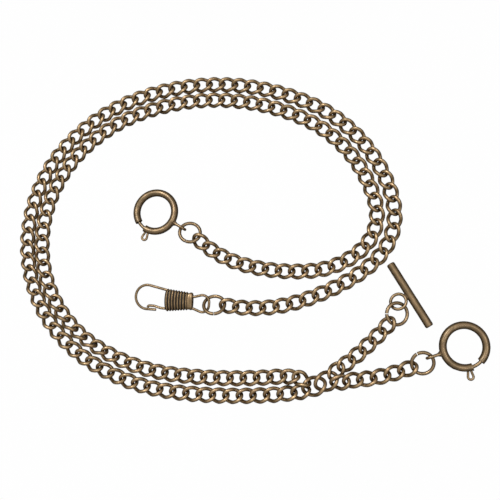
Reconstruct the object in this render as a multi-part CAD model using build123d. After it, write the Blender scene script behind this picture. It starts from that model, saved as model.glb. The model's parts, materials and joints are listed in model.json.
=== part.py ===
from build123d import *

import math
import os

# Double Albert pocket watch chain, laid out flat on a table.
# Two long curb-link strands run side by side round a big loop and meet at a short stem.
# The stem carries a short branch with a T-bar and a side branch with a spring ring.
# The inner strand ends in a second spring ring, the outer strand in a wire snap clasp.
# Units are millimetres and degrees. The table is the plane z = 0 and +Z points up.
# The origin is under the middle of the laid-out chain, at the centre of its bounding box.

# ---------------------------------------------------------------------------
# Driving dimensions
# ---------------------------------------------------------------------------

# curb chain link: a round-wire oval that has been given a twist, so that it lies flat
WIRE = 1.4
LINK_WIDTH = 6.1
LINK_PITCH = 5.05
LINK_SLACK = 0.2
END_TILT = 46.0
SIDE_SLOPE = 47.0
LINK_LENGTH = LINK_PITCH + LINK_SLACK + 2 * WIRE

# the two stem links are larger, because two chains hook into the end of each
STEM_LENGTH = 9.8
STEM_WIDTH = 7.8

# jump rings: plain bent wire rings with a saw cut
JUMP_WIRE = 1.3
JUMP_OD = 9.2
JUMP_RADIUS = (JUMP_OD - JUMP_WIRE) / 2
JUMP_CUT = 4.0
JUMP_CUT_PLACE = -80.0
# the ring wire sits this far inside the joint point of the link it hangs from
JUMP_SEAT = 0.8

# spring rings: a hollow tube ring with a sliding wire latch and a coil spring inside
RING_OD = 18.0
TUBE_OD = 2.8
TUBE_BORE = 1.75
TUBE_RADIUS = (RING_OD - TUBE_OD) / 2
GAP_ANGLE = 27.0
LATCH_WIRE = 1.3
LATCH_BEHIND = 40.0
LATCH_LAP = 5.0
LEVER_FROM_GAP = 10.0
LEVER_WIRE = 0.9
LEVER_LEG = 3.1
LEVER_LEG_START = 0.3
LEVER_SPREAD = 12.0
SLOT_WIDTH = 1.1
SLOT_MARGIN = 8.0
LATCH_TRAVEL = 26.0
COIL_TURNS = 9
COIL_WIRE = 0.3
COIL_OD = 1.5
COIL_SPAN = 75.0
EYE_WIRE = 1.1
EYE_HEIGHT = 3.9
EYE_REACH = 14.4
EYE_ROOT = 9.7

# T-bar and the ring soldered to its middle
BAR_LENGTH = 26.8
BAR_DIAMETER = 3.05
BAR_BEVEL = 0.35
BAR_RING_OD = 6.9
BAR_RING_WIRE = 1.15
BAR_RING_BITE = 0.15

# snap clasp: bent wire hook and gate, held by a flattened ribbed sleeve
CLASP_WIRE = 1.0
SLEEVE_LENGTH = 10.4
SLEEVE_WIDE = 8.8
SLEEVE_NARROW = 5.5
SLEEVE_THICK_WIDE = 3.4
SLEEVE_THICK_NARROW = 2.7
SLEEVE_RIBS = 8
SLEEVE_BAND = 2.0
RIB_DEPTH = 0.3

# ---------------------------------------------------------------------------
# Layout on the table: x, y, z, then heading, pitch (nose down) and roll in degrees
# ---------------------------------------------------------------------------

# moves the layout so that the origin sits under the middle of the whole chain
SHIFT_X = 2.35
SHIFT_Y = -5.42

STEM_LINKS = (
    (24.7, -50.7, 2.0, 20, 0, 0),
    (29.14, -48.86, 2.31, 26.5, 0.2, 3.3),
)

# first two links of each chain that leaves the stem
STRAND_A_LEAD = (
    (20.25, -48.28, 2.95, -32.4, -0.3, -27.7),
    (15.88, -47.43, 2.55, -4.3, -14.4, -14.9),
)
STRAND_B_LEAD = (
    (19.85, -52.79, 2.08, 12.2, -9.8, -6.6),
    (14.81, -53.46, 2.03, 7.4, 6.1, 1.0),
)
BAR_BRANCH_LEAD = (
    (32.65, -45.11, 1.82, 51.8, 4.6, 6.4),
    (36.45, -42.35, 1.9, 37.4, -1.9, 0.9),
)
SIDE_BRANCH_LEAD = (
    (34.17, -49.16, 3.35, 3.3, -10.0, 12.7),
    (38.74, -48.28, 3.22, 6.2, 8.6, 3.8),
)

# the loop shared by both strands, walked clockwise from the stem: (length, turn) of each bend
# the first bend is shorter for the outer strand, whose first links reach further
STRAND_A_FIRST_BEND = (42.3, -11.8)
STRAND_A_HEADING = 185.8
STRAND_B_FIRST_BEND = (40.5, -11.3)
STRAND_B_HEADING = 185.3
LOOP_BENDS = (
    (36.0, -27.0),
    (93.0, -102.0),
    (29.0, -26.0),
    (70.0, -45.0),
    (48.0, -51.0),
    (22.0, -61.0),
)
STRAND_SPACING = 6.35

# where the strands part: the inner strand turns back towards the spring ring, the outer to the clasp
TAIL_A_BENDS = ((20.3, -37.8), (25.1, -18.5), (22.7, -29.4))
TAIL_B_BENDS = ((12.7, -13.8), (17.0, -9.9), (30.8, -30.0))

STRAND_A_LINKS = 78
STRAND_B_LINKS = 82

# height of the joint points and roll of the links, as (distance along the strand, value)
STRAND_A_HEIGHT = (
    (0, 1.88), (18, 1.75), (30, 1.72), (46, 1.72), (76, 2.95),
    (98, 2.95), (150, 1.72), (380, 1.72), (391, 2.2),
)
STRAND_A_ROLL = ((0, 6), (20, 0), (55, 0), (80, 40), (95, 40), (150, 0))
STRAND_B_HEIGHT = ((0, 1.8), (12, 1.72), (405, 1.72), (413, 2.4))
STRAND_B_ROLL = ((0, 0), (1, 0))

# headings of the remaining links of the two branches
BAR_BRANCH_HEADINGS = (40, 45, 43, 49)
BAR_BRANCH_HEIGHTS = (1.85, 1.75, 1.9, 2.9)
SIDE_BRANCH_HEADINGS = (7, 13, 16, 20)
SIDE_BRANCH_HEIGHTS = (1.85, 1.72, 1.72, 1.85)


# ---------------------------------------------------------------------------
# Wire forms
# ---------------------------------------------------------------------------

def arc_wire(start, way, end, diameter):
    """Round wire along the arc that leaves start in the direction way and reaches end."""
    chord = end - start
    half_turn = math.radians(way.get_angle(chord))
    to_centre = (chord - way * chord.dot(way)).normalized()
    centre = start + to_centre * (chord.length / 2 / math.sin(half_turn))
    section = Plane(origin=start, z_dir=way) * Circle(diameter / 2)
    axis = Axis(centre, (start - centre).cross(way))
    return revolve(section, axis, math.degrees(2 * half_turn))


def straight_wire(start, end, diameter):
    """Round wire in a straight line."""
    section = Plane(origin=start, z_dir=(end - start)) * Circle(diameter / 2)
    return extrude(section, (end - start).length)


def follow_bend(x, y, heading, length, turn):
    """Position and heading after a bend of the given length and turn (a straight if turn is 0)."""
    half = math.radians(turn) / 2
    chord = length
    if turn != 0:
        chord = length * math.sin(half) / half
    way = math.radians(heading) + half
    return x + chord * math.cos(way), y + chord * math.sin(way), heading + turn


def bent_wire(x, y, heading, bends, diameter):
    """Flat wire form in the XY plane, built bend by bend as one solid."""
    form = None
    for length, turn in bends:
        start = Vector(x, y, 0)
        way = Vector(math.cos(math.radians(heading)), math.sin(math.radians(heading)), 0)
        x, y, heading = follow_bend(x, y, heading, length, turn)
        end = Vector(x, y, 0)
        if turn == 0:
            piece = straight_wire(start, end, diameter)
        else:
            piece = arc_wire(start, way, end, diameter)
        form = piece if form is None else form + piece
    return form


def ring_wire(radius, diameter, cut_angle=0.0):
    """Wire ring in the XY plane; a cut angle leaves a gap centred on the -X side."""
    section = Plane(origin=(-radius, 0, 0), x_dir=(1, 0, 0), z_dir=(0, 1, 0)) * Circle(diameter / 2)
    if cut_angle == 0:
        return revolve(section, Axis.Z, 360)
    ring = revolve(section, Axis.Z, 360 - cut_angle)
    return Rot(0, 0, cut_angle / 2) * ring


def curb_link(length, width):
    """Twisted oval link lying along X. Each quarter is two arcs that meet smoothly."""
    end = Vector((length - WIRE) / 2, 0, 0)
    end_way = Vector(0, math.cos(math.radians(END_TILT)), -math.sin(math.radians(END_TILT)))
    side = Vector(0, (width - WIRE) / 2, 0)
    side_way = Vector(-math.cos(math.radians(SIDE_SLOPE)), 0, math.sin(math.radians(SIDE_SLOPE)))
    span = side - end
    both_ways = end_way + side_way
    # equal tangent lengths reach on both arcs: |span - reach * both_ways| = 2 * reach
    a = both_ways.dot(both_ways) - 4
    b = -2 * span.dot(both_ways)
    c = span.dot(span)
    reach = (-b - math.sqrt(b * b - 4 * a * c)) / (2 * a)
    corner_1 = end + end_way * reach
    corner_2 = side - side_way * reach
    middle = (corner_1 + corner_2) * 0.5
    middle_way = (corner_2 - corner_1).normalized()
    quarter = arc_wire(end, end_way, middle, WIRE) + arc_wire(middle, middle_way, side, WIRE)
    half = quarter + quarter.rotate(Axis.Y, 180)
    return half + half.rotate(Axis.X, 180)


# ---------------------------------------------------------------------------
# Hardware, each in its own frame
# ---------------------------------------------------------------------------

def jump_ring():
    """Wire ring whose saw cut lies to one side, away from the pieces that hang in it."""
    return Rot(0, 0, JUMP_CUT_PLACE) * ring_wire(JUMP_RADIUS, JUMP_WIRE, JUMP_CUT)


def tube_sector(diameter, start_angle, end_angle):
    """Solid bent rod on the centre circle of the spring ring."""
    section = Plane(origin=(TUBE_RADIUS, 0, 0), x_dir=(1, 0, 0), z_dir=(0, 1, 0)) * Circle(diameter / 2)
    return Rot(0, 0, start_angle) * revolve(section, Axis.Z, end_angle - start_angle)


# angles on the spring ring, measured from the eyelet at +X
GAP_START = 92.0
GAP_END = GAP_START + GAP_ANGLE
LEVER_ANGLE = GAP_START - LEVER_FROM_GAP
LATCH_START = GAP_START - LATCH_BEHIND
LATCH_END = GAP_END + LATCH_LAP


def spring_ring_case():
    """Hollow tube bent into a ring, with a gap for the latch and a slot for its lever."""
    tube = tube_sector(TUBE_OD, GAP_END, GAP_START + 360)
    tube = tube - tube_sector(TUBE_BORE, GAP_END - 1, GAP_START + 361)
    slot_section = Plane.XZ * Pos(TUBE_RADIUS + TUBE_OD / 2, 0) * Rectangle(2.0, SLOT_WIDTH)
    slot_turn = LATCH_TRAVEL + 2 * SLOT_MARGIN
    slot = Rot(0, 0, LEVER_ANGLE - LATCH_TRAVEL - SLOT_MARGIN) * revolve(slot_section, Axis.Z, slot_turn)
    return tube - slot


def spring_ring_eyelet():
    """Upright wire loop, soldered to the outside of the tube at +X."""
    bend_radius = (EYE_HEIGHT - EYE_WIRE) / 2
    near = EYE_ROOT
    far = EYE_REACH - EYE_WIRE / 2 - bend_radius
    bends = ((far - near, 0), (math.pi * bend_radius, 180), (far - near, 0), (math.pi * bend_radius, 180))
    loop = bent_wire(near, -bend_radius, 0, bends, EYE_WIRE)
    loop = Rot(90, 0, 0) * loop
    return loop - tube_sector(TUBE_OD, -40, 40)


def spring_ring_latch():
    """Wire latch that slides inside the tube. Its thumb lever is a teardrop loop on two legs."""
    rod = tube_sector(LATCH_WIRE, LATCH_START, LATCH_END)
    spread = math.radians(LEVER_SPREAD)
    loop_radius = (LEVER_LEG_START + LEVER_LEG * math.sin(spread)) / math.cos(spread)
    round_turn = 180 + 2 * LEVER_SPREAD
    bends = ((LEVER_LEG, 0), (loop_radius * math.radians(round_turn), round_turn), (LEVER_LEG, 0))
    lever = bent_wire(TUBE_RADIUS, -LEVER_LEG_START, -LEVER_SPREAD, bends, LEVER_WIRE)
    return rod + Rot(0, 0, LEVER_ANGLE) * lever


def spring_ring_coil():
    """Coil spring that follows the tube behind the latch."""
    coil_radius = (COIL_OD - COIL_WIRE) / 2
    steps = COIL_TURNS * 10
    points = []
    for step in range(steps + 1):
        around = 2 * math.pi * COIL_TURNS * step / steps
        along = math.radians(LATCH_START - 1.5 - COIL_SPAN * step / steps)
        radius = TUBE_RADIUS + coil_radius * math.cos(around)
        height = coil_radius * math.sin(around)
        points.append(Vector(radius * math.cos(along), radius * math.sin(along), height))
    path = Spline(*points)
    section = Plane(origin=path @ 0, z_dir=path % 0) * Circle(COIL_WIRE / 2)
    return sweep(section, path=path)


def t_bar():
    """Plain round bar along X with bevelled ends."""
    bar = Rot(0, 90, 0) * Cylinder(BAR_DIAMETER / 2, BAR_LENGTH)
    ends = bar.edges().filter_by(GeomType.CIRCLE)
    return chamfer(ends, BAR_BEVEL)


# frame of the ring on the bar: seen from the bar, the ring stands off on the +Y side
BAR_RING_RADIUS = (BAR_RING_OD - BAR_RING_WIRE) / 2
BAR_RING_STANDOFF = BAR_DIAMETER / 2 + BAR_RING_OD / 2 - BAR_RING_BITE

SLEEVE_HALF = SLEEVE_LENGTH / 2
GATE_PIVOT_X = SLEEVE_HALF - 0.6
GATE_PIVOT_Y = 3.3
GATE_BENDS = ((2.3, 0), (0.5, -12), (2.2, 0), (0.6, 14), (1.5, 0), (0.95, 88), (0.22, 0))
REAR_BENDS = (
    (1.9, 0),
    (0.7, -18),
    (2.3, 0),
    (4.9, 108),
    (1.2, 0),
    (4.9, 108),
    (2.3, 0),
    (0.7, -18),
    (1.1, 0),
)
SLEEVE_BEND = (0.9, -9.5)
HOOK_BENDS = ((15.7, 0), (8.0, 99.5), (7.4, 92.0), (3.7, 0))


def clasp_wire():
    """One bent wire: rear loop, the run through the sleeve, and the open hook at the front."""
    bends = REAR_BENDS + (SLEEVE_BEND,) + HOOK_BENDS
    return bent_wire(-3.5, 2.25, 180, bends, CLASP_WIRE)


def clasp_gate():
    """Springy closing wire, with its bent catch that closes against the hook wire."""
    root = Pos(GATE_PIVOT_X, GATE_PIVOT_Y, 0) * Sphere(CLASP_WIRE / 2)
    return root + bent_wire(GATE_PIVOT_X, GATE_PIVOT_Y, 0, GATE_BENDS, CLASP_WIRE)


def sleeve_section(x, inset):
    """Oval outline of the sleeve at x, drawn in by inset."""
    share = (x + SLEEVE_HALF) / SLEEVE_LENGTH
    wide = SLEEVE_NARROW + (SLEEVE_WIDE - SLEEVE_NARROW) * share
    thick = SLEEVE_THICK_NARROW + (SLEEVE_THICK_WIDE - SLEEVE_THICK_NARROW) * share
    plane = Plane(origin=(x, 0, 0), x_dir=(0, 1, 0), z_dir=(1, 0, 0))
    return plane * Ellipse(wide / 2 - inset, thick / 2 - inset)


def clasp_sleeve():
    """Flattened tapering sleeve: a smooth band at the narrow end, then raised ribs."""
    sections = [sleeve_section(-SLEEVE_HALF, RIB_DEPTH * 0.5)]
    sections.append(sleeve_section(-SLEEVE_HALF + SLEEVE_BAND, RIB_DEPTH * 0.5))
    rib_pitch = (SLEEVE_LENGTH - SLEEVE_BAND) / SLEEVE_RIBS
    for rib in range(SLEEVE_RIBS):
        start = -SLEEVE_HALF + SLEEVE_BAND + rib * rib_pitch
        sections.append(sleeve_section(start + rib_pitch * 0.15, RIB_DEPTH))
        sections.append(sleeve_section(start + rib_pitch * 0.35, 0))
        sections.append(sleeve_section(start + rib_pitch * 0.8, 0))
    sections.append(sleeve_section(SLEEVE_HALF, RIB_DEPTH))
    sleeve = loft(sections, ruled=True)
    gate_socket = straight_wire(
        Vector(GATE_PIVOT_X - 1.2, GATE_PIVOT_Y, 0), Vector(SLEEVE_HALF + 1, GATE_PIVOT_Y, 0), 1.3
    )
    return sleeve - clasp_wire() - gate_socket


# ---------------------------------------------------------------------------
# Placing
# ---------------------------------------------------------------------------

def frame(x, y, z, heading, pitch, roll):
    """Frame of a piece on the table: X along the heading, then pitch, then roll about its own X."""
    base = Location((x + SHIFT_X, y + SHIFT_Y, z))
    return base * Rot(0, 0, heading) * Rot(0, pitch, 0) * Rot(roll, 0, 0)


def point_in(place, x, y=0.0, z=0.0):
    """Shared-frame position of a point given in the frame of a piece."""
    return (place * Pos(x, y, z)).position


def value_along(profile, distance):
    """Smooth blend between the (distance, value) knots of a profile."""
    if distance <= profile[0][0]:
        return profile[0][1]
    for (start, low), (end, high) in zip(profile, profile[1:]):
        if distance <= end:
            share = (distance - start) / (end - start)
            return low + (high - low) * share * share * (3 - 2 * share)
    return profile[-1][1]


def offset_bends(bends, offset):
    """The same bends walked at a sideways offset (positive to the left of the walk)."""
    return tuple((length - offset * math.radians(turn), turn) for length, turn in bends)


def point_on_course(x, y, heading, bends, distance):
    """Position after walking the given distance along the bends."""
    for length, turn in bends:
        if distance <= length:
            return follow_bend(x, y, heading, distance, turn * distance / length)
        x, y, heading = follow_bend(x, y, heading, length, turn)
        distance = distance - length
    return follow_bend(x, y, heading, distance, 0)


def link_between(start, end, roll):
    """Frame of a chain link that spans two joint points."""
    run = math.hypot(end.X - start.X, end.Y - start.Y)
    heading = math.degrees(math.atan2(end.Y - start.Y, end.X - start.X))
    pitch = -math.degrees(math.atan2(end.Z - start.Z, run))
    middle = (start + end) * 0.5
    return Location(tuple(middle)) * Rot(0, 0, heading) * Rot(0, pitch, 0) * Rot(roll, 0, 0)


def strand_frames(lead, heading, bends, count, heights, rolls):
    """Frames of all links of a long strand, from the stem outwards."""
    frames = [frame(*values) for values in lead]
    start = point_in(frames[-1], -LINK_PITCH / 2)
    pitch = sum(length for length, turn in bends) / count
    previous = start
    for link in range(1, count + 1):
        x, y, way = point_on_course(start.X, start.Y, heading, bends, link * pitch)
        height = value_along(heights, link * pitch)
        current = Vector(x, y, height)
        roll = value_along(rolls, (link - 0.5) * pitch)
        frames.append(link_between(previous, current, roll))
        previous = current
    return frames


def branch_frames(lead, headings, heights):
    """Frames of the links of a short branch, from the stem outwards."""
    frames = [frame(*values) for values in lead]
    previous = point_in(frames[-1], LINK_PITCH / 2)
    for heading, height in zip(headings, heights):
        way = math.radians(heading)
        level = math.sqrt(LINK_PITCH ** 2 - (height - previous.Z) ** 2)
        current = Vector(previous.X + level * math.cos(way), previous.Y + level * math.sin(way), height)
        frames.append(link_between(previous, current, 0))
        previous = current
    return frames


def ring_after(last_link, way, height, heading, pitch, roll):
    """Frame of a jump ring hung in the free (+X) end of a link, its centre lying along way."""
    joint = point_in(last_link, LINK_PITCH / 2)
    reach = JUMP_RADIUS - JUMP_SEAT
    x = joint.X + reach * math.cos(math.radians(way)) - SHIFT_X
    y = joint.Y + reach * math.sin(math.radians(way)) - SHIFT_Y
    return frame(x, y, height, heading, pitch, roll)


def beyond(place, way, distance, height, heading, pitch, roll):
    """Frame of a piece whose origin lies a level distance beyond another piece."""
    x = place.position.X + distance * math.cos(math.radians(way)) - SHIFT_X
    y = place.position.Y + distance * math.sin(math.radians(way)) - SHIFT_Y
    return frame(x, y, height, heading, pitch, roll)


def split_runs(frames, runs):
    """Share the links of a strand out over a number of runs, as evenly as possible."""
    edges = [round(run * len(frames) / runs) for run in range(runs + 1)]
    return [frames[start:end] for start, end in zip(edges, edges[1:])]


STRAND_A_RUNS = 14
STRAND_B_RUNS = 15


def layout():
    """Frames of every piece of the chain, by node name; a run of links has a list of frames."""
    places = {}
    for number, values in enumerate(STEM_LINKS, 1):
        places[f"stem_link_{number}"] = frame(*values)

    bar_branch = branch_frames(BAR_BRANCH_LEAD, BAR_BRANCH_HEADINGS, BAR_BRANCH_HEIGHTS)
    for number, place in enumerate(bar_branch, 1):
        places[f"bar_branch_link_{number}"] = place
    places["bar_jump_ring"] = ring_after(bar_branch[-1], 52, 2.2, 80, -1, 21.5)
    places["bar_ring"] = beyond(places["bar_jump_ring"], 83, 4.5, 1.88, 79.6, 9.3, -17)
    places["t_bar"] = beyond(places["bar_ring"], 31, BAR_RING_STANDOFF, BAR_DIAMETER / 2, 121, 0, 0)

    side_branch = branch_frames(SIDE_BRANCH_LEAD, SIDE_BRANCH_HEADINGS, SIDE_BRANCH_HEIGHTS)
    for number, place in enumerate(side_branch, 1):
        places[f"side_branch_link_{number}"] = place
    places["side_jump_ring"] = ring_after(side_branch[-1], 22.5, 1.95, 20.4, -1.4, 18.9)
    places["side_spring_ring"] = beyond(places["side_jump_ring"], 22.3, 15.9, 1.85, 198, -2.7, -0.7)

    bends_a = offset_bends((STRAND_A_FIRST_BEND,) + LOOP_BENDS, -STRAND_SPACING / 2) + TAIL_A_BENDS
    strand_a = strand_frames(
        STRAND_A_LEAD, STRAND_A_HEADING, bends_a, STRAND_A_LINKS, STRAND_A_HEIGHT, STRAND_A_ROLL
    )
    for number, run in enumerate(split_runs(strand_a, STRAND_A_RUNS), 1):
        places[f"inner_strand_run_{number:02d}"] = run
    places["inner_jump_ring"] = ring_after(strand_a[-1], 140, 2.05, 148, -1, 20)
    places["inner_spring_ring"] = beyond(places["inner_jump_ring"], 149, 16.2, 1.7, 329, -2, 180)

    bends_b = offset_bends((STRAND_B_FIRST_BEND,) + LOOP_BENDS, STRAND_SPACING / 2) + TAIL_B_BENDS
    strand_b = strand_frames(
        STRAND_B_LEAD, STRAND_B_HEADING, bends_b, STRAND_B_LINKS, STRAND_B_HEIGHT, STRAND_B_ROLL
    )
    for number, run in enumerate(split_runs(strand_b, STRAND_B_RUNS), 1):
        places[f"outer_strand_run_{number:02d}"] = run
    places["clasp_jump_ring"] = ring_after(strand_b[-1], 180, 2.6, 173.7, 0.8, 29.7)
    places["clasp"] = beyond(places["clasp_jump_ring"], 174, 13.75, 1.97, 174, 2, -8)
    return places


def build():
    """Every piece in its place, as lists of solids by node name."""
    link = curb_link(LINK_LENGTH, LINK_WIDTH)
    stem_link = curb_link(STEM_LENGTH, STEM_WIDTH)
    ring = jump_ring()
    bar_ring = ring_wire(BAR_RING_RADIUS, BAR_RING_WIRE)
    places = layout()
    pieces = {}
    for name, place in places.items():
        if name.startswith("stem_link"):
            pieces[name] = [place * stem_link]
        elif "_branch_link" in name:
            pieces[name] = [place * link]
        elif "_strand_run" in name:
            pieces[name] = [one * link for one in place]
        elif name.endswith("jump_ring"):
            pieces[name] = [place * ring]
        elif name.endswith("spring_ring"):
            pieces[name + "_case"] = [place * spring_ring_case()]
            pieces[name + "_eyelet"] = [place * spring_ring_eyelet()]
            pieces[name + "_latch"] = [place * spring_ring_latch()]
            pieces[name + "_coil"] = [place * spring_ring_coil()]
    pieces["t_bar"] = [places["t_bar"] * t_bar()]
    pieces["bar_ring"] = [places["bar_ring"] * bar_ring - pieces["t_bar"][0]]
    pieces["clasp_wire"] = [places["clasp"] * clasp_wire()]
    pieces["clasp_sleeve"] = [places["clasp"] * clasp_sleeve()]
    pieces["clasp_gate"] = [places["clasp"] * clasp_gate()]
    return pieces


if __name__ == "__main__":
    os.makedirs("parts", exist_ok=True)
    for name, shapes in build().items():
        solids = [solid for shape in shapes for solid in shape.solids()]
        body = solids[0] if len(solids) == 1 else Compound(solids)
        export_step(body, f"parts/{name}.step")
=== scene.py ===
import json
import math
import random

import bpy
import numpy as np
from mathutils import Matrix, Vector


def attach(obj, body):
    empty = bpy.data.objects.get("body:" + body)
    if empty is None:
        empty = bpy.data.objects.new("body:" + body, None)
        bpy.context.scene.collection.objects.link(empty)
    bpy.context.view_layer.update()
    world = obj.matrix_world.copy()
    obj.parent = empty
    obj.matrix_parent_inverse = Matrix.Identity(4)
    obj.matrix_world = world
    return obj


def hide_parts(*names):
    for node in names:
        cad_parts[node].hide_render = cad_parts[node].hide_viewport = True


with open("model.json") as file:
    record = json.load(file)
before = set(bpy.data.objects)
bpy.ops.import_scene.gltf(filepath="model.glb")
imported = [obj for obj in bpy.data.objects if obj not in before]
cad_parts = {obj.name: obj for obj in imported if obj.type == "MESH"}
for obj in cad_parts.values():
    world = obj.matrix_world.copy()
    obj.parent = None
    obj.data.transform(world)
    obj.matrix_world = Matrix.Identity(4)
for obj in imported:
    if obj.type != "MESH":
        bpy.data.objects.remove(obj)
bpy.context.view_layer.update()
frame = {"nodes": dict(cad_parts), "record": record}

# Looks of a double Albert pocket watch chain in antique brass, on a plain pale studio floor.
# Blender works in metres; the sizes below are given in millimetres times MM.

MM = 0.001

# camera: from above, leaning a little towards the two branches
CAMERA_LEAN = math.radians(12.3)
CAMERA_HEADING = math.radians(-42.0)
CAMERA_DISTANCE = 305.0 * MM
CAMERA_LENS = 57.74
CAMERA_NEAR = 10.0 * MM
LOOK_AT = Vector((2.50, -5.42, 0.0)) * MM

# stage: the floor lies deep enough to clear the pieces that swing down
FLOOR_DROP = 150.0 * MM
FLOOR_SIZE = 8.0

# lights: radiance of the sky at the horizon and overhead, and where it rises between them
HORIZON_LIGHT = 0.06
OVERHEAD_LIGHT = 0.85
HORIZON_RISE = (0.0, 0.9)
KEY_PLACE = (-0.18, 0.32, 0.70)
KEY_SIZE = 0.22
KEY_POWER = 3.2
FILL_PLACE = (0.40, -0.10, 0.75)
FILL_SIZE = 0.35
FILL_POWER = 1.2

# corner points closer than this belong to one solid
WELD = 0.001 * MM

# curb link: tilt of the wire at the ends and slope at the sides, as the maker's twist leaves them
END_TILT = math.radians(46.0)
SIDE_SLOPE = math.radians(47.0)
STEPS_PER_ARC = 7
SECTION_POINTS = 18
RUBBED_DEPTH = 0.045

# solder seam of a link: its height, half length, slant, and the shares of the wire it may sit at
SEAM_RISE = 0.022 * MM
SEAM_HALF = 0.30 * MM
SEAM_SKEW = 0.25
SEAM_PLACES = (0.25, 0.75)
SEAM_SCATTER = 0.01

# how far the drawn lines of one link may start from those of another
GRAIN_SHIFT = 50.0

# clasp sleeve: ribs, the smooth band at the narrow end and the hollow mouth
RIBS = 8
RIB_STEPS = 8
RIB_DEPTH = 0.48 * MM
BAND_SHARE = 0.17
RIM_ROUND = 0.30 * MM
RIBS_END = 0.985
RIB_SHARPNESS = 0.8
MOUTH_LIP = 0.1 * MM
MOUTH_WALL = 0.45 * MM
MOUTH_BEVEL = 0.05 * MM
MOUTH_DEPTH = 1.3 * MM
SLEEVE_BOW = 0.40 * MM
SLEEVE_POINTS = 72
OVAL_SQUARENESS = 0.88

# T-bar: rounded ends, and waves along and around it as a file leaves them
BAR_POINTS = 48
BAR_STEPS = 60
BAR_ROUND = 0.55 * MM
BAR_ROUND_STEPS = 6
BAR_END_MARGIN = 0.2 * MM
BAR_WAVE = 0.012 * MM
BAR_WAVES_AROUND = 3
BAR_WAVES_TWIST = 13.0
BAR_WAVES_ALONG = 9

# solder beads: the flare from the joint, where the far end starts to close, and the lumps
SOLDER_STEPS = 14
SOLDER_POINTS = 32
SOLDER_FLARE = 1.7
SOLDER_CLOSING = 0.75
SOLDER_CLOSING_RATE = 16
SOLDER_BLUNTNESS = 0.02
SOLDER_LUMPS = 3
SOLDER_LUMP_DEPTH = 0.035
SOLDER_LUMP_TWIST = 5
EYELET_SOLDER = {
    "reach": (8.1 * MM, 10.7 * MM),
    "wide": (1.75 * MM, 0.42 * MM),
    "high": (1.35 * MM, 0.62 * MM),
}
BAR_SOLDER = {
    "reach": (0.9 * MM, 2.45 * MM),
    "wide": (1.9 * MM, 0.95 * MM),
    "high": (1.05 * MM, 0.56 * MM),
}

random.seed(7)
NODES = frame["nodes"]
BODIES = frame["record"]["behaviour"]["bodies"]
BODY_OF = {node: body for body, nodes in BODIES.items() for node in nodes}


# ---------------------------------------------------------------------------
# Reading the frame
# ---------------------------------------------------------------------------

def triangles_of(node):
    """Corner positions of a CAD node's triangles, and the solid that each one belongs to."""
    mesh = NODES[node].data
    mesh.calc_loop_triangles()
    points = np.empty(len(mesh.vertices) * 3, np.float32)
    mesh.vertices.foreach_get("co", points)
    points = points.reshape(-1, 3).astype(float)
    corners = np.empty(len(mesh.loop_triangles) * 3, np.int32)
    mesh.loop_triangles.foreach_get("vertices", corners)
    corners = corners.reshape(-1, 3)
    welded = np.round(points / WELD).astype(np.int64)
    merged = np.unique(welded, axis=0, return_inverse=True)[1].ravel()
    linked = merged[corners]
    label = np.arange(merged.max() + 1)
    while True:
        lowest = label[linked].min(axis=1)
        changed = label.copy()
        for column in range(3):
            np.minimum.at(changed, linked[:, column], lowest)
        changed = changed[changed]
        if (changed == label).all():
            break
        label = changed
    return points[corners], label[linked[:, 0]]


def solids_of(node):
    """Triangles of each separate solid of a CAD node."""
    triangles, label = triangles_of(node)
    return [triangles[label == one] for one in np.unique(label)]


def measure(triangles):
    """Middle, principal axes, half extents along them and mean tube radius of one solid."""
    cross = np.cross(triangles[:, 1] - triangles[:, 0], triangles[:, 2] - triangles[:, 0])
    area = np.linalg.norm(cross, axis=1) / 2
    centres = triangles.mean(axis=1)
    middle = (centres * area[:, None]).sum(axis=0) / area.sum()
    spread = centres - middle
    moments, axes = np.linalg.eigh((spread * area[:, None]).T @ spread)
    axes = axes[:, ::-1]
    if np.linalg.det(axes) < 0:
        axes[:, 2] = -axes[:, 2]
    local = (triangles.reshape(-1, 3) - middle) @ axes
    half = (local.max(axis=0) - local.min(axis=0)) / 2
    volume = abs((triangles[:, 0] * cross).sum()) / 6
    return middle, axes, half, 2 * volume / area.sum()


def boxed(triangles, axes):
    """Centre and half extents of a solid's box along the given axes."""
    local = triangles.reshape(-1, 3) @ axes
    low, high = local.min(axis=0), local.max(axis=0)
    return axes @ ((low + high) / 2), (high - low) / 2


def circle_of(node):
    """Centre and axis of a ring-shaped node, even one with a gap in it."""
    points = np.concatenate(solids_of(node)).reshape(-1, 3)
    middle, axes = measure(points.reshape(-1, 3, 3))[:2]
    flat = (points - middle) @ axes[:, :2]
    squares = (flat ** 2).sum(axis=1)
    unknowns = np.linalg.lstsq(np.c_[2 * flat, np.ones(len(flat))], squares, rcond=None)[0]
    return middle + axes[:, :2] @ unknowns[:2], axes[:, 2]


def square_to(direction, axis):
    """Unit vector along the part of direction that is square to axis."""
    direction = direction - axis * (direction @ axis)
    return direction / np.linalg.norm(direction)


def turns_of(count):
    """Angles of the points of a ring."""
    return np.arange(count) * 2 * math.pi / count


def placed(points, middle, axes):
    """Points given along a piece's own axes, moved to where the piece lies."""
    return np.asarray(points) @ axes.T + middle


# ---------------------------------------------------------------------------
# Meshes
# ---------------------------------------------------------------------------

def new_piece(name, points, faces, body, wire_map):
    """Smooth-shaded mesh that rides on a body. wire_map gives (along, around) per face corner."""
    mesh = bpy.data.meshes.new(name)
    mesh.from_pydata([tuple(p) for p in points], [], faces)
    mesh.polygons.foreach_set("use_smooth", [True] * len(faces))
    layer = mesh.uv_layers.new(name="wire")
    layer.data.foreach_set("uv", np.asarray(wire_map, np.float32).ravel())
    mesh.update()
    piece = bpy.data.objects.new(name, mesh)
    bpy.context.scene.collection.objects.link(piece)
    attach(piece, body)
    return piece


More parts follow.
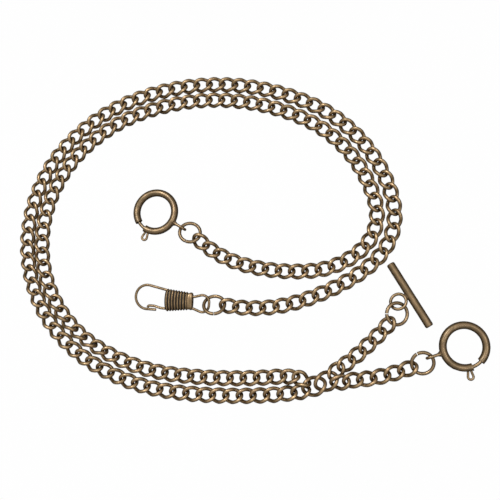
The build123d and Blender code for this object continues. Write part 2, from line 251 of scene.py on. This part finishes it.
def arc_points(start, way, end, steps):
    """Points of the arc that leaves start in the direction way and reaches end, without the end."""
    chord = end - start
    half_turn = way.angle(chord)
    to_centre = (chord - way * chord.dot(way)).normalized()
    radius = chord.length / 2 / math.sin(half_turn)
    centre = start + to_centre * radius
    turns = [2 * half_turn * step / steps for step in range(steps)]
    return [centre - to_centre * radius * math.cos(t) + way * radius * math.sin(t) for t in turns]


def link_centre_line(half_length, half_width):
    """Closed centre line of a twisted curb link lying along X: eight arcs that meet smoothly."""
    end = Vector((half_length, 0, 0))
    end_way = Vector((0, math.cos(END_TILT), -math.sin(END_TILT)))
    side = Vector((0, half_width, 0))
    side_way = Vector((-math.cos(SIDE_SLOPE), 0, math.sin(SIDE_SLOPE)))
    span = side - end
    both_ways = end_way + side_way
    # the two arcs of a quarter meet smoothly where their tangents are equally long: a quadratic
    a = both_ways.dot(both_ways) - 4
    b = -2 * span.dot(both_ways)
    c = span.dot(span)
    reach = (-b - math.sqrt(b * b - 4 * a * c)) / (2 * a)
    corner_1 = end + end_way * reach
    corner_2 = side - side_way * reach
    middle = (corner_1 + corner_2) / 2
    middle_way = (corner_2 - corner_1).normalized()
    quarter = arc_points(end, end_way, middle, STEPS_PER_ARC)
    quarter += arc_points(middle, middle_way, side, STEPS_PER_ARC)
    quarter = np.array([tuple(p) for p in quarter + [side]])
    second = (quarter * (-1, 1, -1))[::-1]
    third = quarter * (-1, -1, 1)
    fourth = (quarter * (1, -1, -1))[::-1]
    return np.vstack([quarter[:-1], second[:-1], third[:-1], fourth[:-1]])


def tube_rings(line, radius):
    """Rings of points around a closed line. Angle 0 looks up, as far as the wire lets it."""
    up = np.array((0.0, 0.0, 1.0))
    ahead = np.roll(line, -1, axis=0) - np.roll(line, 1, axis=0)
    ahead /= np.linalg.norm(ahead, axis=1)[:, None]
    top = up - ahead * (ahead @ up)[:, None]
    top /= np.linalg.norm(top, axis=1)[:, None]
    sideways = np.cross(ahead, top)
    turns = turns_of(SECTION_POINTS)[None, :, None]
    outwards = np.cos(turns) * top[:, None, :] + np.sin(turns) * sideways[:, None, :]
    return line[:, None, :] + radius[:, :, None] * outwards


def tube_faces(rings, first):
    """Quads of a closed tube, facing out, and the (along, around) map of their corners in turns."""
    faces, corners = [], []
    for i in range(rings):
        for j in range(SECTION_POINTS):
            walk = ((i, j), (i, j + 1), (i + 1, j + 1), (i + 1, j))
            faces.append(tuple(
                first + (a % rings) * SECTION_POINTS + b % SECTION_POINTS for a, b in walk
            ))
            corners += [(a / rings, b / SECTION_POINTS) for a, b in walk]
    return faces, corners


def link_radii(line, wire_radius, seam_at):
    """Wire radius round a link: rubbed flat on top and underneath, with a raised solder seam."""
    turns = turns_of(SECTION_POINTS)
    rubbed = np.clip(np.cos(2 * turns), 0, 1) ** 2
    radius = wire_radius * (1 - RUBBED_DEPTH * rubbed)[None, :].repeat(len(line), axis=0)
    step = np.linalg.norm(np.roll(line, -1, axis=0) - line, axis=1).mean()
    slant = SEAM_SKEW * np.sin(turns)[None, :] * SEAM_HALF / step
    along = np.arange(len(line))[:, None] - seam_at * len(line) + slant
    along = (along + len(line) / 2) % len(line) - len(line) / 2
    return radius + SEAM_RISE * np.exp(-((along * step / SEAM_HALF) ** 2))


def build_links(node):
    """All links of one CAD node, rebuilt as drawn wire with rubbed faces and solder seams."""
    points, faces, corners = [], [], []
    for triangles in solids_of(node):
        middle, axes, half, wire_radius = measure(triangles)
        line = link_centre_line(half[0] - wire_radius, half[1] - wire_radius)
        seam_at = random.choice(SEAM_PLACES) + random.uniform(-SEAM_SCATTER, SEAM_SCATTER)
        rings = tube_rings(line, link_radii(line, wire_radius, seam_at))
        more_faces, more_corners = tube_faces(len(line), len(points))
        points += list(placed(rings.reshape(-1, 3), middle, axes))
        faces += more_faces
        shift = random.uniform(0, GRAIN_SHIFT)
        corners += [(along + shift, around) for along, around in more_corners]
    piece = new_piece(node + "_wire", points, faces, BODY_OF[node], corners)
    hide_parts(node)
    return piece


def loft(name, sections, body, along=None):
    """Closed piece from rings of points; both ends are closed by a fan to the ring's middle.

    along is the first value of the wire map at each ring, by default the share of the walk.
    """
    sections = np.asarray(sections)
    count, around = sections.shape[:2]
    if along is None:
        along = [i / (count - 1) for i in range(count)]
    points = list(sections.reshape(-1, 3)) + [sections[0].mean(axis=0), sections[-1].mean(axis=0)]
    first_middle, last_middle = len(points) - 2, len(points) - 1
    faces, corners = [], []
    for i in range(count - 1):
        for j in range(around):
            walk = ((i, j), (i, j + 1), (i + 1, j + 1), (i + 1, j))
            faces.append(tuple(a * around + b % around for a, b in walk))
            corners += [(along[a], b / around) for a, b in walk]
    last = (count - 1) * around
    for j in range(around):
        next_j = (j + 1) % around
        faces.append((first_middle, next_j, j))
        faces.append((last_middle, last + j, last + next_j))
        for end, turns in ((0, (j, j + 1, j)), (-1, (j, j, j + 1))):
            corners += [(along[end], turn / around) for turn in turns]
    return new_piece(name, points, faces, body, corners)


def oval(half_wide, half_thick, points):
    """Slightly squared oval outline: offsets along the wide and the thick axis."""
    cos, sin = np.cos(turns_of(points)), np.sin(turns_of(points))
    return (half_wide * np.sign(cos) * np.abs(cos) ** OVAL_SQUARENESS,
            half_thick * np.sign(sin) * np.abs(sin) ** OVAL_SQUARENESS)


def sleeve_profile():
    """Walk along the sleeve from its narrow end: (share of the length, inset of the surface)."""
    profile = [(0.0, RIM_ROUND), (0.012, 0.30 * RIM_ROUND), (0.035, 0.0), (BAND_SHARE * 0.5, 0.0)]
    steps = RIBS * RIB_STEPS
    for step in range(steps + 1):
        share = BAND_SHARE + (RIBS_END - BAND_SHARE) * step / steps
        bulge = abs(math.sin(math.pi * step / RIB_STEPS))
        profile.append((share, RIB_DEPTH * (1 - bulge) ** RIB_SHARPNESS))
    return profile + [(1.0, RIB_DEPTH + MOUTH_LIP)]


def build_sleeve(node):
    """Flattened tapering sleeve with rounded ribs, a smooth band and a hollow mouth."""
    triangles = solids_of(node)[0]
    axes = measure(triangles)[1]
    centre, half = boxed(triangles, axes)
    local = (triangles.reshape(-1, 3) - centre) @ axes
    # half width and half thickness at a quarter and at three quarters of the length
    quarters = [local[np.abs(local[:, 0] - end * 0.5 * half[0]) < 0.1 * half[0]] for end in (-1, 1)]
    wide, thick = ([np.abs(part[:, column]).max() for part in quarters] for column in (1, 2))
    if wide[0] > wide[1]:
        axes = axes * (-1, -1, 1)
        wide, thick = wide[::-1], thick[::-1]
    sections, depths = [], []
    for share, inset in sleeve_profile():
        side_to_side = wide[0] + (wide[1] - wide[0]) * (2 * share - 0.5)
        top_to_bottom = thick[0] + (thick[1] - thick[0]) * (2 * share - 0.5)
        y, z = oval(side_to_side - inset, top_to_bottom - inset, SLEEVE_POINTS)
        x = half[0] * (2 * share - 1) + SLEEVE_BOW * share * (0.5 - (y / side_to_side) ** 2)
        sections.append(np.stack([x, y, z], axis=1))
        # groove depth for the wire map; the ribbed brass paints it black as shade, the mouth as
        # deepest
        depths.append(inset / RIB_DEPTH if share > BAND_SHARE else 0.0)
    inner_rim = sections[-1] * (1, 1 - MOUTH_WALL / side_to_side, 1 - MOUTH_WALL / top_to_bottom)
    for depth in (MOUTH_BEVEL, MOUTH_DEPTH):
        sections.append(inner_rim - (depth, 0, 0))
        depths.append(1.0)
    sections = [placed(one, centre, axes) for one in sections]
    piece = loft(node + "_ribbed", sections, BODY_OF[node], along=depths)
    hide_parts(node)
    return piece


def build_bar(node):
    """Round bar with softly rounded ends and the faint unevenness of a filed rod."""
    triangles = solids_of(node)[0]
    axes = measure(triangles)[1]
    centre, half = boxed(triangles, axes)
    turns = turns_of(BAR_POINTS)
    radius = (half[1] + half[2]) / 2
    ends = []
    for step in range(BAR_ROUND_STEPS + 1):
        bend = math.pi / 2 * step / BAR_ROUND_STEPS
        x = half[0] - BAR_ROUND * (1 - math.sin(bend))
        ends.append((x, radius - BAR_ROUND * (1 - math.cos(bend))))
    straight = half[0] - BAR_ROUND - BAR_END_MARGIN
    plain = [(x, radius) for x in np.linspace(-1, 1, BAR_STEPS) * straight]
    sections = []
    for x, r in [(-x, r) for x, r in reversed(ends)] + plain + ends:
        around = np.sin(BAR_WAVES_AROUND * turns + BAR_WAVES_TWIST * x / half[0])
        rough = r - BAR_WAVE * (1 + around * np.sin(BAR_WAVES_ALONG * x / half[0]))
        y, z = rough * np.cos(turns), rough * np.sin(turns)
        ring = np.stack([np.full(BAR_POINTS, x), y, z], axis=1)
        sections.append(placed(ring, centre, axes))
    piece = loft(node + "_rod", sections, BODY_OF[node])
    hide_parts(node)
    return piece


def build_solder(name, body, origin, outwards, upwards, reach, wide, high):
    """Bead of solder that flares from a joint.

    reach is the walk outwards; wide and high are its half sizes at the start and at the end.
    """
    axes = np.stack([outwards, np.cross(upwards, outwards), upwards], axis=1)
    turns = turns_of(SOLDER_POINTS)
    sections = []
    for step in range(SOLDER_STEPS + 1):
        share = step / SOLDER_STEPS
        flare = (1 - share) ** SOLDER_FLARE
        half_wide, half_high = (size[1] + (size[0] - size[1]) * flare for size in (wide, high))
        y, z = oval(half_wide, half_high, SOLDER_POINTS)
        past = max(0, share - SOLDER_CLOSING)
        closing = math.sqrt(max(SOLDER_BLUNTNESS, 1 - past ** 2 * SOLDER_CLOSING_RATE))
        lump = 1 + SOLDER_LUMP_DEPTH * np.sin(turns * SOLDER_LUMPS + SOLDER_LUMP_TWIST * share)
        x = np.full(SOLDER_POINTS, reach[0] + (reach[1] - reach[0]) * share)
        ring = np.stack([x, y * closing * lump, z * closing * lump], axis=1)
        sections.append(placed(ring, origin, axes))
    return loft(name, sections, body)


def build_eyelet_solder(side):
    """Solder between a spring ring's case and its eyelet."""
    case = side + "_spring_ring_case"
    centre, axis = circle_of(case)
    eyelet = measure(solids_of(side + "_spring_ring_eyelet")[0])[0]
    outwards = square_to(eyelet - centre, axis)
    name = side + "_spring_ring_solder"
    return build_solder(name, BODY_OF[case], centre, outwards, axis, **EYELET_SOLDER)


def build_bar_solder():
    """Solder between the T-bar and its ring."""
    triangles = solids_of("t_bar")[0]
    axes = measure(triangles)[1]
    centre = boxed(triangles, axes)[0]
    along = axes[:, 0]
    outwards = square_to(circle_of("bar_ring")[0] - centre, along)
    upwards = np.cross(outwards, along)
    body = BODY_OF["t_bar"]
    return build_solder("bar_ring_solder", body, centre, outwards, upwards, **BAR_SOLDER)


# ---------------------------------------------------------------------------
# Materials
# ---------------------------------------------------------------------------

class Graph:
    """Short way of writing a material's nodes."""

    def __init__(self, name):
        self.material = bpy.data.materials.new(name)
        self.material.use_nodes = True
        self.tree = self.material.node_tree
        self.tree.nodes.clear()

    def add(self, kind, inputs=None, **settings):
        node = self.tree.nodes.new("ShaderNode" + kind)
        for key, value in settings.items():
            setattr(node, key, value)
        for key, value in (inputs or {}).items():
            if isinstance(value, bpy.types.NodeSocket):
                self.tree.links.new(value, node.inputs[key])
            else:
                node.inputs[key].default_value = value
        return node

    def maths(self, operation, a, b=0.0, clamp=False):
        return self.add("Math", {0: a, 1: b}, operation=operation, use_clamp=clamp).outputs[0]

    def noise(self, vector, scale, detail=4.0):
        inputs = {"Vector": vector, "Scale": scale, "Detail": detail, "Roughness": NOISE_ROUGHNESS}
        return self.add("TexNoise", inputs).outputs["Fac"]

    def ramp(self, value, low, high):
        """Value stretched so that low becomes 0 and high becomes 1, smoothly."""
        inputs = {"Value": value, "From Min": low, "From Max": high}
        return self.add("MapRange", inputs, interpolation_type="SMOOTHSTEP").outputs["Result"]

    def mix(self, share, low, high):
        node = self.add("Mix", {"Factor": share}, data_type="RGBA")
        for index, value in ((6, low), (7, high)):
            if isinstance(value, bpy.types.NodeSocket):
                self.tree.links.new(value, node.inputs[index])
            else:
                node.inputs[index].default_value = value
        return node.outputs[2]

    def finish(self, shader):
        self.add("OutputMaterial", {"Surface": shader})
        return self.material


# linear colours of the antiqued brass, and how strongly each is laid over the others
# the darkest colour below is real patina in the hollows and painted shade where ambient occlusion
# darkens; it also colours the dark specks
DARK_PATINA_AND_SHADE = (0.038, 0.022, 0.010, 1)
OLIVE = (0.190, 0.126, 0.056, 1)
RUBBED = (0.390, 0.260, 0.132, 1)
COPPERY = (0.270, 0.150, 0.085, 1)
# near black painted shade for the sleeve's grooves and mouth
GROOVE_SHADE_BLACK = (0.012, 0.009, 0.006, 1)
RUBBED_SHARE = 0.72
COPPERY_SHARE = 0.40
SPECK_SHARE = 0.40
PIECE_VARIATION = 0.22

# sizes of the brass patterns, in repeats per metre
BLOTCHES = 330.0
GRAIN = 2600.0
REDDISH_PATCHES = 700.0
LOOSE_LINES = 1200.0
RING_LINES = 1800.0
RING_LINE_DRIFT = 160.0
NOISE_ROUGHNESS = 0.55

# how often the drawn lines of a wire change along one round of a link
WIRE_LINE_CHANGES = 5.0

# surface of the brass: polish of worn and unworn places, and depth of the grain
# reach of the ambient occlusion that paints shade into hollows and between touching parts
CREVICE_REACH = 1.7 * MM
BASE_ROUGHNESS = 0.44
WORN_POLISH = -0.15
GRAIN_ROUGHNESS = 0.12
GRAIN_HEIGHT = 0.7
GRAIN_DEPTH = 0.02 * MM
GRAIN_STRENGTH = 0.35

STEEL_DARK = (0.22, 0.21, 0.20, 1)
STEEL_LIGHT = (0.46, 0.45, 0.43, 1)
STEEL_GRAIN = 3000.0

FLOOR_WHITE = (1.0, 1.0, 1.0, 1)
FLOOR_SHADE = (0.985, 0.985, 0.985, 1)
FLOOR_CLOUDS = 3.0


def wire_values(g):
    """The two values of a piece's (along, around) map."""
    return g.add("SeparateXYZ", {0: g.add("UVMap", uv_map="wire").outputs["UV"]}).outputs


def lines_along_wire(g, around):
    """Noise vector that runs along a wire by its (along, around) map, without a seam around it."""
    split = wire_values(g)
    turn = g.maths("MULTIPLY", split["Y"], 2 * math.pi)
    x = g.maths("MULTIPLY", g.maths("COSINE", turn), around)
    y = g.maths("MULTIPLY", g.maths("SINE", turn), around)
    z = g.maths("MULTIPLY", split["X"], WIRE_LINE_CHANGES)
    return g.add("CombineXYZ", {0: x, 1: y, 2: z}).outputs[0]


def lines_along_ring(g, place, centre, axis):
    """Noise vector that stays the same along a ring: distance from its centre, and height."""
    offset = g.add("VectorMath", {0: place, 1: tuple(centre)}, operation="SUBTRACT").outputs[0]
    along = g.add("VectorMath", {0: offset, 1: tuple(axis)}, operation="DOT_PRODUCT")
    height = along.outputs["Value"]
    reach = g.add("VectorMath", {0: offset}, operation="LENGTH").outputs["Value"]
    drift = g.noise(place, RING_LINE_DRIFT, detail=1.0)
    x = g.maths("MULTIPLY", reach, RING_LINES)
    y = g.maths("MULTIPLY", height, RING_LINES)
    return g.add("CombineXYZ", {0: x, 1: y, 2: drift}).outputs[0]


def antique_brass(name, lines=0.0, ring=None, grooved=False, tone=1.0, streaks=0.9):
    """Brass under an antique finish with painted shade: patina colour wherever ambient occlusion
    finds hollows or touching parts, rubbed lighter on the crowns.

    lines: how many drawn lines follow the piece's wire map, per radian.
    ring: the (centre, axis) of a ring that the drawn lines follow instead.
    grooved: the wire map's first value is the depth of a groove, which is painted black as shade.
    tone: scale of the colours. streaks: strength of the drawn lines.
    """
    g = Graph(name)
    place = g.add("TexCoord").outputs["Object"]
    geometry = g.add("NewGeometry")
    # painted shade: ambient occlusion darkens the colour in hollows and where parts touch
    occlusion_shade = g.add("AmbientOcclusion", {"Distance": CREVICE_REACH}, samples=8).outputs["AO"]
    unshaded_share = g.ramp(occlusion_shade, 0.25, 0.97)
    blotches = g.noise(place, BLOTCHES, detail=5.0)
    grain = g.noise(place, GRAIN, detail=3.0)
    piece_tone = g.maths("SUBTRACT", geometry.outputs["Random Per Island"], 0.5)
    if lines:
        drawn = g.noise(lines_along_wire(g, lines), 1.0, detail=3.0)
    elif ring:
        drawn = g.noise(lines_along_ring(g, place, *ring), 1.0, detail=3.0)
    else:
        drawn = g.noise(place, LOOSE_LINES, detail=2.0)

    # the rubbed lighter wear is kept to places that the painted shade leaves open
    worn = g.maths("MULTIPLY", unshaded_share, g.ramp(blotches, 0.30, 0.68))
    worn = g.maths("ADD", worn, g.maths("MULTIPLY", piece_tone, PIECE_VARIATION), clamp=True)
    streak = g.maths("MULTIPLY", g.maths("SUBTRACT", drawn, 0.5), streaks)
    worn = g.maths("ADD", worn, streak, clamp=True)
    # painted shade: patina colour where ambient occlusion is dark, olive brass where open
    base = g.mix(unshaded_share, DARK_PATINA_AND_SHADE, OLIVE)
    base = g.mix(g.maths("MULTIPLY", worn, RUBBED_SHARE), base, RUBBED)
    reddish = g.ramp(g.noise(place, REDDISH_PATCHES, detail=2.0), 0.50, 0.70)
    base = g.mix(g.maths("MULTIPLY", reddish, COPPERY_SHARE), base, COPPERY)
    speck = g.ramp(grain, 0.58, 0.78)
    base = g.mix(g.maths("MULTIPLY", speck, SPECK_SHARE), base, DARK_PATINA_AND_SHADE)
    # painted shade: grooves and the hollow mouth go black by their depth
    if grooved:
        base = g.mix(g.ramp(wire_values(g)["X"], 0.15, 0.75), base, GROOVE_SHADE_BLACK)
    base = g.add("VectorMath", {0: base, "Scale": tone}, operation="SCALE").outputs[0]

    roughness = g.maths("ADD", BASE_ROUGHNESS, g.maths("MULTIPLY", worn, WORN_POLISH))
    roughness = g.maths("ADD", roughness, g.maths("MULTIPLY", grain, GRAIN_ROUGHNESS))
    height = g.maths("ADD", drawn, g.maths("MULTIPLY", grain, GRAIN_HEIGHT))
    relief = {"Strength": GRAIN_STRENGTH, "Distance": GRAIN_DEPTH, "Height": height}
    shader = g.add("BsdfPrincipled", {
        "Base Color": base, "Metallic": 0.90, "Roughness": roughness,
        "Normal": g.add("Bump", relief).outputs["Normal"],
        "Coat Weight": 0.45, "Coat Roughness": 0.28,
    })
    return g.finish(shader.outputs["BSDF"])


def spring_steel():
    """Bare steel of the hidden coil springs."""
    g = Graph("bare_spring_steel")
    place = g.add("TexCoord").outputs["Object"]
    grain = g.noise(place, STEEL_GRAIN)
    base = g.mix(grain, STEEL_DARK, STEEL_LIGHT)
    roughness = g.maths("ADD", 0.25, g.maths("MULTIPLY", grain, 0.2))
    shader = g.add("BsdfPrincipled", {"Base Color": base, "Metallic": 1.0, "Roughness": roughness})
    return g.finish(shader.outputs["BSDF"])


def pale_floor():
    """White light table: it glows evenly, so the chain throws no shadow on it."""
    g = Graph("pale_floor")
    place = g.add("TexCoord").outputs["Object"]
    tone = g.mix(g.noise(place, FLOOR_CLOUDS), FLOOR_SHADE, FLOOR_WHITE)
    shader = g.add("Emission", {"Color": tone, "Strength": 1.0})
    return g.finish(shader.outputs["Emission"])


def paint(piece, material):
    piece.data.materials.clear()
    piece.data.materials.append(material)


# ---------------------------------------------------------------------------
# Stage, lights and camera
# ---------------------------------------------------------------------------

def build_stage():
    """The floor. Only the camera sees it, so its glow does not light the chain."""
    half = FLOOR_SIZE / 2
    corners = [(-half, -half), (half, -half), (half, half), (-half, half)]
    mesh = bpy.data.meshes.new("floor")
    mesh.from_pydata([(x, y, -FLOOR_DROP) for x, y in corners], [], [(0, 1, 2, 3)])
    floor = bpy.data.objects.new("floor", mesh)
    bpy.context.scene.collection.objects.link(floor)
    paint(floor, pale_floor())
    floor.visible_glossy = False
    floor.visible_diffuse = False


def area_light(name, place, size, power):
    """Round softbox that faces the middle of the chain."""
    data = bpy.data.lights.new(name, "AREA")
    data.shape = "DISK"
    data.size = size
    data.energy = power
    light = bpy.data.objects.new(name, data)
    bpy.context.scene.collection.objects.link(light)
    light.location = place
    light.rotation_euler = (-Vector(place)).to_track_quat("-Z", "Y").to_euler()


def build_lights():
    """Soft overhead light that fades out towards the horizon, a key softbox and a weaker fill.

    The camera sees plain white where the floor ends.
    """
    world = bpy.data.worlds.new("studio")
    world.use_nodes = True
    bpy.context.scene.world = world
    nodes = world.node_tree.nodes
    links = world.node_tree.links
    backdrop = nodes["Background"]
    split = nodes.new("ShaderNodeSeparateXYZ")
    links.new(nodes.new("ShaderNodeTexCoord").outputs["Generated"], split.inputs[0])
    fade = nodes.new("ShaderNodeMapRange")
    fade.interpolation_type = "SMOOTHSTEP"
    links.new(split.outputs["Z"], fade.inputs["Value"])
    fade.inputs["From Min"].default_value = HORIZON_RISE[0]
    fade.inputs["From Max"].default_value = HORIZON_RISE[1]
    fade.inputs["To Min"].default_value = HORIZON_LIGHT
    fade.inputs["To Max"].default_value = OVERHEAD_LIGHT
    seen = nodes.new("ShaderNodeMix")
    links.new(nodes.new("ShaderNodeLightPath").outputs["Is Camera Ray"], seen.inputs[0])
    links.new(fade.outputs["Result"], seen.inputs[2])
    seen.inputs[3].default_value = 1.0
    links.new(seen.outputs[0], backdrop.inputs["Strength"])
    backdrop.inputs["Color"].default_value = (1, 1, 1, 1)
    area_light("key", KEY_PLACE, KEY_SIZE, KEY_POWER)
    area_light("fill", FILL_PLACE, FILL_SIZE, FILL_POWER)


def build_camera():
    """Camera that looks down on the chain, leaning back by CAMERA_LEAN towards CAMERA_HEADING."""
    lean = Vector((math.cos(CAMERA_HEADING), math.sin(CAMERA_HEADING), 0))
    up_axis = Vector((0, 0, 1))
    back = up_axis * math.cos(CAMERA_LEAN) + lean * math.sin(CAMERA_LEAN)
    downhill = lean * math.cos(CAMERA_LEAN) - up_axis * math.sin(CAMERA_LEAN)
    level = up_axis.cross(lean)
    right = downhill * lean.x - level * lean.y
    up = back.cross(right)
    data = bpy.data.cameras.new("camera")
    data.lens = CAMERA_LENS
    data.clip_start = CAMERA_NEAR
    camera = bpy.data.objects.new("camera", data)
    bpy.context.scene.collection.objects.link(camera)
    turn = Matrix((right, up, back)).transposed().to_4x4()
    camera.matrix_world = Matrix.Translation(LOOK_AT + back * CAMERA_DISTANCE) @ turn
    bpy.context.scene.camera = camera


# ---------------------------------------------------------------------------
# The chain
# ---------------------------------------------------------------------------

RING_TONE = 0.86
CASE_TONE = 0.70
RING_STREAKS = 2.0

wire_brass = antique_brass("antique_brass_wire", lines=2.6, tone=1.17)
bar_brass = antique_brass("antique_brass_bar", lines=1.3, tone=0.76, streaks=2.6)
ribbed_brass = antique_brass("antique_brass_ribbed", grooved=True, tone=0.95)
plain_brass = antique_brass("antique_brass_plain", tone=0.88)
steel = spring_steel()

for node in sorted(NODES):
    if "link" in node or "strand_run" in node:
        paint(build_links(node), wire_brass)
    elif node.endswith(("jump_ring", "_case", "bar_ring")):
        tone = CASE_TONE if node.endswith("_case") else RING_TONE
        ring_brass = antique_brass(
            "antique_brass_" + node, ring=circle_of(node), tone=tone, streaks=RING_STREAKS,
        )
        paint(NODES[node], ring_brass)
    elif node == "clasp_sleeve":
        paint(build_sleeve(node), ribbed_brass)
    elif node == "t_bar":
        paint(build_bar(node), bar_brass)
    elif node.endswith("coil"):
        paint(NODES[node], steel)
    else:
        paint(NODES[node], plain_brass)

for side in ("side", "inner"):
    paint(build_eyelet_solder(side), plain_brass)
paint(build_bar_solder(), plain_brass)

bpy.context.scene.view_settings.view_transform = "Standard"
build_stage()
build_lights()
build_camera()
